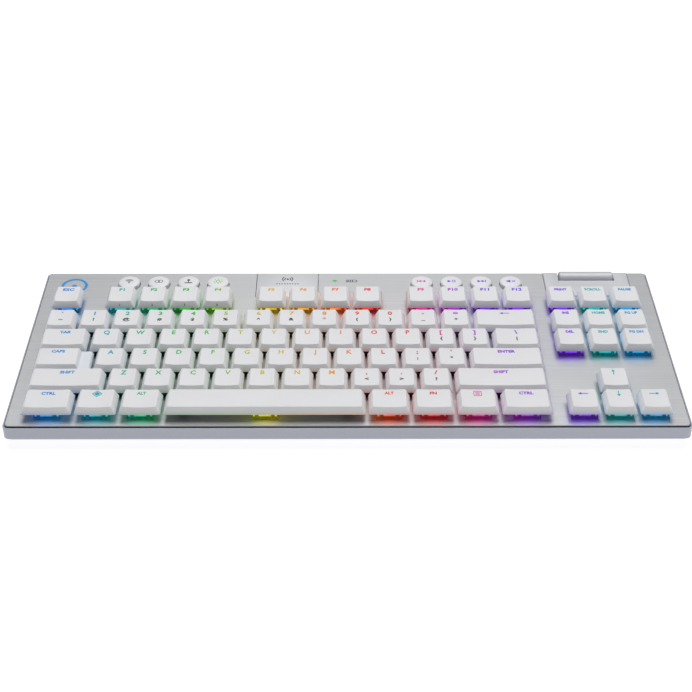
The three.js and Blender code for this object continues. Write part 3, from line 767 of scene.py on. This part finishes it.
# %% Key tables
RUNS = {
    "escape_key": ["ESC"],
    "f1_to_f4_keys": ["F1", "F2", "F3", "F4"],
    "f5_to_f8_keys": ["F5", "F6", "F7", "F8"],
    "f9_to_f12_keys": ["F9", "F10", "F11", "F12"],
    "print_scroll_pause_keys": ["PRINT", "SCROLL", "PAUSE"],
    "number_keys": list("`1234567890-="),
    "backspace_key": ["(left)"],
    "insert_home_page_up_keys": ["INS", "HOME", "PG UP"],
    "tab_key": ["TAB"],
    "upper_letter_keys": list("QWERTYUIOP[]"),
    "backslash_key": ["\\"],
    "delete_end_page_down_keys": ["DEL", "END", "PG DN"],
    "caps_lock_key": ["CAPS"],
    "home_letter_keys": list("ASDFGHJKL;'"),
    "enter_key": ["ENTER"],
    "left_shift_key": ["SHIFT"],
    "lower_letter_keys": list("ZXCVBNM,./"),
    "right_shift_key": ["SHIFT"],
    "up_arrow_key": ["(up)"],
    "left_ctrl_key": ["CTRL"],
    "left_system_key": ["(diamond)"],
    "left_alt_key": ["ALT"],
    "spacebar": [""],
    "right_alt_key": ["ALT"],
    "function_key": ["FN"],
    "menu_key": ["(lines)"],
    "right_ctrl_key": ["CTRL"],
    "left_arrow_key": ["(left)"],
    "down_arrow_key": ["(down)"],
    "right_arrow_key": ["(right)"],
}
SECOND = dict(zip("`1234567890-=[]\\;',./", '~!@#$%^&*()_+{}|:"<>?'))
SIGN_NAMES = {
    "`": "backtick", "-": "minus", "=": "equals", "[": "left_bracket", "]": "right_bracket",
    ";": "semicolon", "'": "quote", ",": "comma", ".": "full_stop", "/": "slash",
}
SIGNS = {
    "(left)": lambda: arrow_sign(180),
    "(right)": lambda: arrow_sign(0),
    "(up)": lambda: arrow_sign(90, 4.4),
    "(down)": lambda: arrow_sign(-90, 4.4),
    "(diamond)": diamond_sign,
    "(lines)": lines_sign,
}
LETTER = {"size": 4.9 * MM, "y": 3.0 * MM, "stretch": 0.9}
DIGIT = {"size": 4.8 * MM, "y": 3.0 * MM, "stretch": 1.05}
SECOND_SIGN = {"size": 3.6 * MM, "y": -2.5 * MM, "stretch": 1.1}
WORD = {"size": 3.2 * MM, "y": 3.9 * MM, "stretch": 1.0}
FUNCTION_WORD = {"size": 3.6 * MM, "y": 3.9 * MM, "stretch": 1.15}
NARROW_WORD = {"size": 3.1 * MM, "y": 4.0 * MM, "stretch": 0.86}
STYLES = {
    "escape_key": FUNCTION_WORD,
    "f1_to_f4_keys": FUNCTION_WORD,
    "f5_to_f8_keys": FUNCTION_WORD,
    "f9_to_f12_keys": FUNCTION_WORD,
    "print_scroll_pause_keys": NARROW_WORD,
    "insert_home_page_up_keys": NARROW_WORD,
    "delete_end_page_down_keys": NARROW_WORD,
    "left_alt_key": NARROW_WORD,
    "right_alt_key": NARROW_WORD,
}
SIGN_Y = 4.6 * MM
FRONT_DIGIT_SIZE, FRONT_DIGIT_BOLD, FRONT_DIGIT_FOOT = 1.9 * MM, 0.05 * MM, 0.3
LIT, PRINTED, DARK, GLOWING = 1, 2, 3, 4  # a keycap's finishes after its shell


def piece_name(node, words, alone):
    """A plain name for a keycap."""
    if alone:
        return node.replace("_key", "") + "_keycap"
    return "keycap_" + SIGN_NAMES.get(words, words.lower().replace(" ", "_"))


def set_type(bm, words, style, shift, centre, half, index):
    """Sets words on a cap in a style."""
    ink = text_bmesh(words, style["size"])
    lay(bm, ink, (shift, style["y"]), centre, half, index, style["stretch"])


def label(bm, node, words, shift, centre, half):
    """Puts a key's legends on its cap."""
    if words in SIGNS:
        lay(bm, SIGNS[words](), (shift, SIGN_Y), centre, half, LIT)
    elif words in SECOND:
        set_type(bm, words, DIGIT, shift, centre, half, LIT)
        set_type(bm, SECOND[words], SECOND_SIGN, shift, centre, half, PRINTED)
    elif len(words) == 1:
        set_type(bm, words, LETTER, shift, centre, half, LIT)
    elif words:
        set_type(bm, words, STYLES.get(node, WORD), shift, centre, half, LIT)


# %% Build the keycaps
SLIDER = Vector((10.2, 4.5)) * MM
PATCH, PATCH_DEPTH = 12.6 * MM, 5 * MM  # the part of a cap's inside that its lamp lights, at the front
PATCH_THICK, SUNK = 0.35 * MM, 0.3 * MM  # SUNK is how far the pieces inside a cap reach into its roof
POST = Vector((3, 4)) * MM
POST_LIFT = 1.8 * MM  # from the slider's foot to the posts' feet
STEP_FROM_MIDDLE, STEPPED_LEGEND = 8.0 * MM, -3.2 * MM
SPACEBAR_REACH, WIDE_REACH = 44.5 * MM, 12 * MM
INNER = {
    "lower_letter_keys", "home_letter_keys", "upper_letter_keys", "number_keys", "caps_lock_key", "tab_key",
    "left_shift_key", "right_shift_key", "enter_key", "backslash_key", "backspace_key",
}  # rows with another row close in front
key_places = []  # each key's centre, the reach of its stabiliser, and whether its housing is drawn dark as painted shade
for node, labels in RUNS.items():
    low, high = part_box(node)
    alone = len(labels) == 1
    for index, words in enumerate(labels):
        width = high.x - low.x if alone else PITCH - 2 * GAP
        left = low.x if alone else low.x + index * PITCH
        depth = high.y - low.y
        centre = (left + width / 2, (low.y + high.y) / 2)
        stepped, flat = node == "caps_lock_key", node == "spacebar"
        bm = cap_shell(centre, width, depth, STEP_FROM_MIDDLE if stepped else None, flat)
        half = None if stepped or flat else width / 2 - SIDE_INSET
        label(bm, node, words, STEPPED_LEGEND if stepped else 0, centre, half)
        if node == "f1_to_f4_keys":
            mark = text_bmesh(str(index + 1), FRONT_DIGIT_SIZE, FRONT_DIGIT_BOLD)
            lay_on_front(bm, mark, centre, depth, FRONT_DIGIT_FOOT, PRINTED)
        reach = SPACEBAR_REACH if flat else WIDE_REACH if width > 1.9 * PITCH else 0
        inside = CAP_TOP - CAP_ROOF + SUNK
        stem_low = low.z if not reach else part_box("escape_key")[0].z
        middle = Vector(centre)
        add_box(bm, (*(middle - SLIDER / 2), stem_low), (*(middle + SLIDER / 2), inside), DARK)
        if node not in INNER:
            patch = middle - Vector((PATCH / 2, PATCH / 2))
            end = patch + Vector((PATCH, PATCH_DEPTH))
            add_box(bm, (*patch, inside - PATCH_THICK), (*end, inside), GLOWING)
        for side in (-reach, reach) if reach else ():
            post = middle + Vector((side, 0))
            foot = (*(post - POST / 2), stem_low + POST_LIFT)
            add_box(bm, foot, (*(post + POST / 2), inside), DARK)
        key_places.append((centre, reach, node in INNER))
        name = piece_name(node, words, alone)
        finishes = [cap, legend, grey_print, stem, cavity]
        finished(name, bm, body_of_node(node), finishes, [node])
print("keycaps:", len(key_places))

# %% [markdown]
# ## Switch housings
# Under each cap stands a squat housing of clear plastic: a lower half that snaps into the plate, an upper
# half a little narrower, a flange round them that rests on the plate, a pocket for the slider, a lens
# behind it and two clips in front. Separate objects would be exact but many, and none of them moves, so
# one housing is built once and stamped under every key. The inner rows' lamps could be lit like the rest,
# but seen from in front the gaps between their caps are dark, so their housings are left without light and
# drawn in the dark slider plastic as painted shade, which shows from behind. Wide keys have a dark guide on
# either side, in which the posts of their stabiliser run.

# %% Housing sizes
housing_low, housing_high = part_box("switch_housings")
HOUSING = 13.4 * MM
HOUSING_SPLIT = 14.9 * MM
HOUSING_LEDGE, HOUSING_TAPER = 0.3 * MM, 0.93
FLANGE = Vector((14.6, 15.2, 0.7)) * MM
POCKET = SLIDER + Vector((0.6, 0.6)) * MM
CLIP_PLACE, CLIP_HALF = 4.3 * MM, 1 * MM
CLIP_FRONT, CLIP_BACK, CLIP_FOOT, CLIP_DROP = 0.1 * MM, 0.5 * MM, 0.6 * MM, 0.5 * MM
LENS = [Vector((-1.6, 3.4, -0.2)) * MM, Vector((1.6, 5.2, 0.15)) * MM]  # from the housing's top
GUIDE, GUIDE_HEIGHT = Vector((5.4, 7)) * MM, 2.1 * MM
SHEET_TOP = housing_low.z + 0.5 * MM
BASE, UPPER, LAMP, UNLIT = 0, 1, 2, 3  # the housings' finishes


# %% Housing builder
def one_housing():
    """A switch housing that stands over the origin."""
    bm = bmesh.new()
    half = HOUSING / 2
    faces = add_box(bm, (-half, -half, SHEET_TOP), (half, half, HOUSING_SPLIT), BASE)
    top = max(faces, key=lambda face: face.calc_center_median().z)
    bmesh.ops.inset_region(bm, faces=[top], thickness=HOUSING_LEDGE, use_even_offset=True)
    grown = bmesh.ops.extrude_face_region(bm, geom=[top])["geom"]
    bmesh.ops.delete(bm, geom=[top], context="FACES_ONLY")
    verts = [v for v in grown if isinstance(v, bmesh.types.BMVert)]
    top = next(face for face in grown if isinstance(face, bmesh.types.BMFace))
    bmesh.ops.translate(bm, vec=(0, 0, housing_high.z - HOUSING_SPLIT), verts=verts)
    bmesh.ops.scale(bm, vec=(HOUSING_TAPER, HOUSING_TAPER, 1), verts=verts)
    for face in bm.faces:
        face.material_index = UPPER if face.calc_center_median().z > HOUSING_SPLIT + 1e-6 else BASE
    sunk_pocket(bm, top, POCKET, SHEET_TOP + 0.1 * MM)
    foot = PLATE_TOP + LIFT
    rim = FLANGE / 2
    for side in (-1, 1):
        x, y = sorted((side * half, side * rim.x)), sorted((side * half, side * rim.y))
        add_box(bm, (x[0], -half, foot), (x[1], half, foot + FLANGE.z), BASE)
        add_box(bm, (-rim.x, y[0], foot), (rim.x, y[1], foot + FLANGE.z), BASE)
    for x in (-CLIP_PLACE, CLIP_PLACE):
        clip_low = (x - CLIP_HALF, -half + CLIP_FRONT, HOUSING_SPLIT - CLIP_FOOT)
        clip_high = (x + CLIP_HALF, -half + CLIP_BACK, housing_high.z - CLIP_DROP)
        add_box(bm, clip_low, clip_high, BASE)
    up = Vector((0, 0, housing_high.z))
    add_box(bm, LENS[0] + up, LENS[1] + up, LAMP)
    return bm


def one_guide():
    """The guide of a stabiliser's post, over the origin."""
    bm = bmesh.new()
    outer, opening = GUIDE / 2, POST + Vector((0.8, 0.8)) * MM
    faces = add_box(bm, (*-outer, SHEET_TOP), (*outer, PLATE_TOP + GUIDE_HEIGHT), UNLIT)
    top = max(faces, key=lambda face: face.calc_center_median().z)
    sunk_pocket(bm, top, opening, SHEET_TOP + 0.3 * MM)
    return bm


def stamp(bm, template, place, dark_for_shade=False):
    """Adds a copy of a template mesh, moved to a place on the plate."""
    count, faces = len(bm.verts), len(bm.faces)
    bm.from_mesh(template)
    bm.verts.ensure_lookup_table()
    bm.faces.ensure_lookup_table()
    bmesh.ops.translate(bm, vec=(*place, 0), verts=bm.verts[count:])
    # painted shade: an inner row's housing takes the dark slider plastic and gives off no light
    for face in bm.faces[faces:] if dark_for_shade else ():
        face.material_index = UNLIT


def template_of(bm, name):
    """A mesh to stamp from."""
    mesh = bpy.data.meshes.new(name)
    bm.to_mesh(mesh)
    bm.free()
    return mesh


# %% Stamp the housings
housing_mesh, guide_mesh = template_of(one_housing(), "housing"), template_of(one_guide(), "guide")
bm = bmesh.new()
add_box(bm, housing_low, (housing_high.x, housing_high.y, SHEET_TOP), BASE)
for centre, reach, shaded_dark in key_places:
    stamp(bm, housing_mesh, centre, shaded_dark)
    for side in (-reach, reach) if reach else ():
        stamp(bm, guide_mesh, (centre[0] + side, centre[1]))
bpy.data.meshes.remove(housing_mesh)
bpy.data.meshes.remove(guide_mesh)
finished(
    "lit_switch_housings", bm, "case", [housing_dark, housing_lit, lamp, stem],
    ["switch_housings"]
)
print("housings:", len(key_places))

# %% [markdown]
# ## Round buttons
# Each button is a turned disc, level in its middle, that falls away to a soft rim, so it is a profile
# spun round an upright axis. Its sign lies on the level part: three are printed in grey, the others lit.

# %% Button profile
CROWN = 0.25 * MM
LEVEL = 3.4 * MM  # radius of the flat part that carries the sign
BUTTON_RIM = 0.9 * MM
button_low, button_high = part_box("play_button")
BUTTON_RADIUS = (button_high.x - button_low.x) / 2
FLAT = BUTTON_RADIUS - BUTTON_RIM


def crown_drop(distance):
    """How far a button's crown lies below its middle."""
    return CROWN * max(0, (distance - LEVEL) / (FLAT - LEVEL)) ** 2


def button_profile():
    """Points from the middle of the crown, round the rim and back under the button."""
    spread = [0, *(LEVEL + (FLAT - LEVEL) * i / 4 for i in range(5))]
    points = [(distance, button_high.z - crown_drop(distance)) for distance in spread]
    edge_top = button_high.z - CROWN
    for i in range(1, 6):
        angle = math.radians(18 * i)
        points.append((FLAT + BUTTON_RIM * math.sin(angle), edge_top - BUTTON_RIM * (1 - math.cos(angle))))
    return points + [(BUTTON_RADIUS, button_low.z), (0, button_low.z)]


# %% Signs on the buttons
def wave_sign(ink):
    """A dot that sends out three waves."""
    spot(ink, (0, -1.4), 0.55)
    for radius in (1.4, 2.4, 3.4):
        arc(ink, (0, -1.4), radius, 0.5, 45, 90)


def link_sign(ink):
    """Two links of a chain."""
    for x in (-0.95, 0.95):
        arc(ink, (x, 0), 1.35, THIN_PEN)


def stick_sign(ink):
    """A joystick on its base."""
    stroke(ink, (-2.4, -1.5), (2.4, -1.5), 0.9)
    stroke(ink, (0, -1.2), (0, 0.8), 0.55)
    spot(ink, (0, 1.4), 0.95)


def sun_sign(ink):
    """A small sun."""
    arc(ink, (0, 0), 1.1, 0.5)
    for i in range(8):
        way = Vector((math.cos(i * math.pi / 4), math.sin(i * math.pi / 4)))
        stroke(ink, way * 1.9, way * 2.9, 0.5)


def back_sign(ink):
    stroke(ink, (-2.7, -1.3), (-2.7, 1.3), PEN)
    for x in (-1.0, 1.4):
        spot(ink, (x, 0), 1.5, 3, 180)


def play_sign(ink):
    spot(ink, (-1.6, 0), 1.6, 3, 0)
    for x in (0.9, 2.1):
        stroke(ink, (x, -1.35), (x, 1.35), PEN)


def skip_sign(ink):
    stroke(ink, (2.7, -1.3), (2.7, 1.3), PEN)
    for x in (-1.4, 1.0):
        spot(ink, (x, 0), 1.5, 3, 0)


def hush_sign(ink):
    """A loudspeaker with a cross beside it."""
    stroke(ink, (-2.6, 0), (-1.4, 0), 1.3)
    spot(ink, (-1.0, 0), 1.7, 3, 180)
    stroke(ink, (0.9, -0.9), (2.7, 0.9), THIN_PEN)
    stroke(ink, (0.9, 0.9), (2.7, -0.9), THIN_PEN)


GREY_SIGN, LIT_SIGN = 1, 2  # the buttons' finishes after their domes
BUTTON_SIGNS = {
    "wireless_button": (wave_sign, GREY_SIGN),
    "pairing_button": (link_sign, GREY_SIGN),
    "game_mode_button": (stick_sign, GREY_SIGN),
    "brightness_button": (sun_sign, LIT_SIGN),
    "previous_button": (back_sign, LIT_SIGN),
    "play_button": (play_sign, LIT_SIGN),
    "next_button": (skip_sign, LIT_SIGN),
    "mute_button": (hush_sign, LIT_SIGN),
}

# %% Build the buttons
for node, (draw, ink_index) in BUTTON_SIGNS.items():
    centre = middle_of(node)
    bm = bmesh.new()
    turned(bm, button_profile(), centre)
    smooth_all(bm)
    ink = bmesh.new()
    draw(ink)
    thickened(ink)
    for v in ink.verts:
        v.co.z += button_high.z - LIFT / 2
    bmesh.ops.translate(ink, vec=(*centre, 0), verts=ink.verts)
    merged_in(bm, ink, ink_index)
    finished(node.replace("_button", "_dome"), bm, node, [dome, grey_print, legend], [node])
print("buttons:", len(BUTTON_SIGNS))

# %% [markdown]
# ## Rounded copies of the frame's solids
# The frame's solids have knife-sharp edges, and no real edge is: a bright line of light runs along each
# small rounding. For the pieces whose shape is already right, a copy of the solid is merged, its flat
# faces are joined, and every edge that turns more than a given angle is bevelled.


# %% Softening helper
def softened(name, node, finish, radius, segments=2, angle=35):
    """A copy of a frame solid with its edges rounded."""
    bm = bmesh.new()
    bm.from_mesh(frame["nodes"][node].data)
    bmesh.ops.remove_doubles(bm, verts=bm.verts, dist=1e-6)
    bmesh.ops.dissolve_limit(bm, angle_limit=math.radians(1), verts=bm.verts, edges=bm.edges)
    sharp = [e for e in bm.edges if e.is_manifold and e.calc_face_angle() > math.radians(angle)]
    bmesh.ops.bevel(
        bm, geom=sharp, offset=radius, affect="EDGES", segments=segments, profile=0.5, material=-1,
        clamp_overlap=True
    )
    smooth_all(bm)
    return finished(name, bm, body_of_node(node), [finish], [node])


softened("window_cover", "antenna_window", panel, 0.2 * MM)
softened("roller_surround", "roller_panel", panel, 0.3 * MM)
for word in ("left", "right"):
    for kind in ("tall", "short"):
        softened(f"{kind}_{word}_foot", f"{kind}_foot_{word}", foot_plastic, 0.3 * MM)
for place in ("front_left", "front_right", "rear_left", "rear_right"):
    softened(place + "_rubber", place + "_pad", rubber, 0.5 * MM, 3)
softened("socket_shell", "charging_socket", steel, 0.12 * MM)
softened("slider_knob", "power_slider", foot_plastic, 0.25 * MM)

# %% [markdown]
# ## Volume roller
# A turned drum with small chamfers at its ends. It is a profile spun round an upright axis and then laid
# along X, with a bore through it for the axle. The lathe's fine rings are in its finish.

# %% Roller
roller_low, roller_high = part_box("volume_roller")
roller_middle = (roller_low + roller_high) / 2
ROLLER_RADIUS = (roller_high.z - roller_low.z) / 2
ROLLER_HALF = (roller_high.x - roller_low.x) / 2
ROLLER_CHAMFER, ROLLER_BORE = 0.5 * MM, 1.4 * MM
right_half = [
    (ROLLER_BORE, ROLLER_HALF), (ROLLER_RADIUS - ROLLER_CHAMFER, ROLLER_HALF),
    (ROLLER_RADIUS, ROLLER_HALF - ROLLER_CHAMFER),
]
outline = [(radius, -along) for radius, along in right_half] + right_half[::-1]
outline.append(outline[0])
bm = bmesh.new()
turned(bm, outline, (0, 0), 64)
bmesh.ops.rotate(bm, cent=(0, 0, 0), matrix=Matrix.Rotation(math.pi / 2, 3, "Y"), verts=bm.verts)
bmesh.ops.translate(bm, vec=roller_middle, verts=bm.verts)
smooth_all(bm)
finished("roller_drum", bm, "roller", [roller_metal], ["volume_roller"])

# %% [markdown]
# ## Emblem, status light and marks
# A metal disc lies flush in the plate with a plain ring of light let into it. The status light is a small
# green lens. Beside it a battery is drawn in place of a word, and the antenna window has a sign of waves.

# %% Emblem
emblem_low, emblem_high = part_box("emblem_light")
emblem_centre = middle_of("emblem_light")
EMBLEM_RADIUS = (emblem_high.x - emblem_low.x) / 2 + 0.12 * MM
EDGE = 0.1 * MM
RING_RADIUS, RING_WIDTH, DOT_RADIUS = 7.2, 1.7, 1.6  # of the light in the emblem, in millimetres
bm = bmesh.new()
rim_points = [(0, PLATE_TOP), (EMBLEM_RADIUS - EDGE, PLATE_TOP), (EMBLEM_RADIUS, PLATE_TOP - EDGE)]
turned(bm, rim_points + [(EMBLEM_RADIUS, emblem_low.z), (0, emblem_low.z)], emblem_centre, 64)
ink = bmesh.new()
arc(ink, (0, 0), RING_RADIUS, RING_WIDTH)
spot(ink, (0, 0), DOT_RADIUS, 24)
thickened(ink)
bmesh.ops.translate(ink, vec=(*emblem_centre, PLATE_TOP - LIFT / 3), verts=ink.verts)
merged_in(bm, ink, 1)
finished("emblem_disc", bm, "case", [plate_metal, blue_lamp], ["emblem_light"])

# %% Status light
light_low, light_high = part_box("status_light")
light_centre = middle_of("status_light")
LENS_RADIUS = (light_high.x - light_low.x) / 2
lens = [(0, PLATE_TOP), (LENS_RADIUS * 0.7, PLATE_TOP - 0.05 * MM), (LENS_RADIUS, PLATE_TOP - 0.3 * MM)]
bm = bmesh.new()
turned(bm, lens + [(LENS_RADIUS, light_low.z), (0, light_low.z)], light_centre, 24)
smooth_all(bm)
finished("status_lens", bm, "case", [green_lamp], ["status_light"])


# %% Marks on the plate and the window
def flat_mark(name, draw, place, height):
    """A printed mark on a level surface of the case."""
    ink = bmesh.new()
    draw(ink)
    thickened(ink)
    bmesh.ops.translate(ink, vec=(*place, height - LIFT / 3), verts=ink.verts)
    finished(name, ink, "case", [grey_print])


def battery_sign(ink):
    """A battery lying down, with its cells."""
    loop(ink, [(-3, -1.2), (3, -1.2), (3, 1.2), (-3, 1.2)], 0.35)
    stroke(ink, (3.2, 0), (3.8, 0), 1.2)
    for x in (-1.9, -0.5, 0.9):
        stroke(ink, (x, -0.75), (x, 0.75), 0.8)


def window_sign(ink):
    """Waves to both sides of a dot, over a row of dots."""
    spot(ink, (0, 0), 0.8)
    for radius in (1.8, 3.1):
        for side in (0, 180):
            arc(ink, (0, 0), radius, 0.6, side - 45, 90)
    for i in range(9):
        spot(ink, ((i - 4) * 1.6, -5.2), 0.5, 8)


WINDOW_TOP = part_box("antenna_window")[1].z
BATTERY_FROM_LIGHT, WINDOW_SIGN_Y = 10 * MM, 68 * MM
battery_place = (light_centre[0] + BATTERY_FROM_LIGHT, light_centre[1])
flat_mark("battery_mark", battery_sign, battery_place, PLATE_TOP)
window_place = (middle_of("antenna_window")[0], WINDOW_SIGN_Y)
flat_mark("window_mark", window_sign, window_place, WINDOW_TOP)
print("marks: 2")

# %% [markdown]
# ## Finishes on the frame's other solids
# The plate, the tray and the hidden pieces already have the right shape, so they keep it and only take a
# better finish.

# %% Dress the frame's own pieces
DRESSED = {
    "top_plate": plate_metal,
    "base_tray": paint,
    "stiffener_plate": steel,
    "circuit_board": board,
    "battery": wrap,
    "roller_axle": steel,
}
for node, finish in DRESSED.items():
    piece = frame["nodes"][node]
    piece.data.materials.clear()
    piece.data.materials.append(finish.material)
print("dressed:", len(DRESSED))

# %% [markdown]
# ## The room
# A plain pale floor that is lit enough to swallow the shadow, a large soft light overhead that leaves the
# front faces in shade, a bright panel behind that the brushed metal reflects, a weak fill from the right,
# and a dim even sky.

# %% Floor, sky and lights
bm = bmesh.new()
bmesh.ops.create_grid(bm, x_segments=1, y_segments=1, size=4)
floor_mesh = bpy.data.meshes.new("floor")
bm.to_mesh(floor_mesh)
bm.free()
floor_finish = Finish("floor", Roughness=0.9)
pale = floor_finish.mix(floor_finish.noise(3), (0.33, 0.33, 0.33), (0.35, 0.35, 0.35))
floor_finish.give("Base Color", pale)
floor_finish.give("Emission Color", (1.0, 1.0, 1.0)).give("Emission Strength", 0.85)
floor_mesh.materials.append(floor_finish.material)
floor = bpy.data.objects.new("floor", floor_mesh)
scene.collection.objects.link(floor)

SKY_LIGHT = 0.24
scene.view_settings.view_transform = "Standard"
world = bpy.data.worlds.new("sky")
world.use_nodes = True
world.node_tree.nodes["Background"].inputs["Color"].default_value = (0.98, 0.985, 1, 1)
world.node_tree.nodes["Background"].inputs["Strength"].default_value = SKY_LIGHT
scene.world = world


def soft_light(name, place, size, power):
    """A rectangular area light that points at the middle of the keyboard."""
    data = bpy.data.lights.new(name, "AREA")
    data.shape = "RECTANGLE"
    data.size, data.size_y = size
    data.energy = power
    thing = bpy.data.objects.new(name, data)
    thing.location = place
    thing.rotation_euler = (-Vector(place)).to_track_quat("-Z", "Y").to_euler()
    scene.collection.objects.link(thing)


soft_light("overhead", (0, 0.5, 1.55), (1.6, 1.0), 20)
soft_light("back_panel", (0, 2.2, 1.95), (1.0, 1.1), 4.6)
soft_light("right_fill", (0.9, -0.6, 0.25), (0.4, 0.3), 0.8)
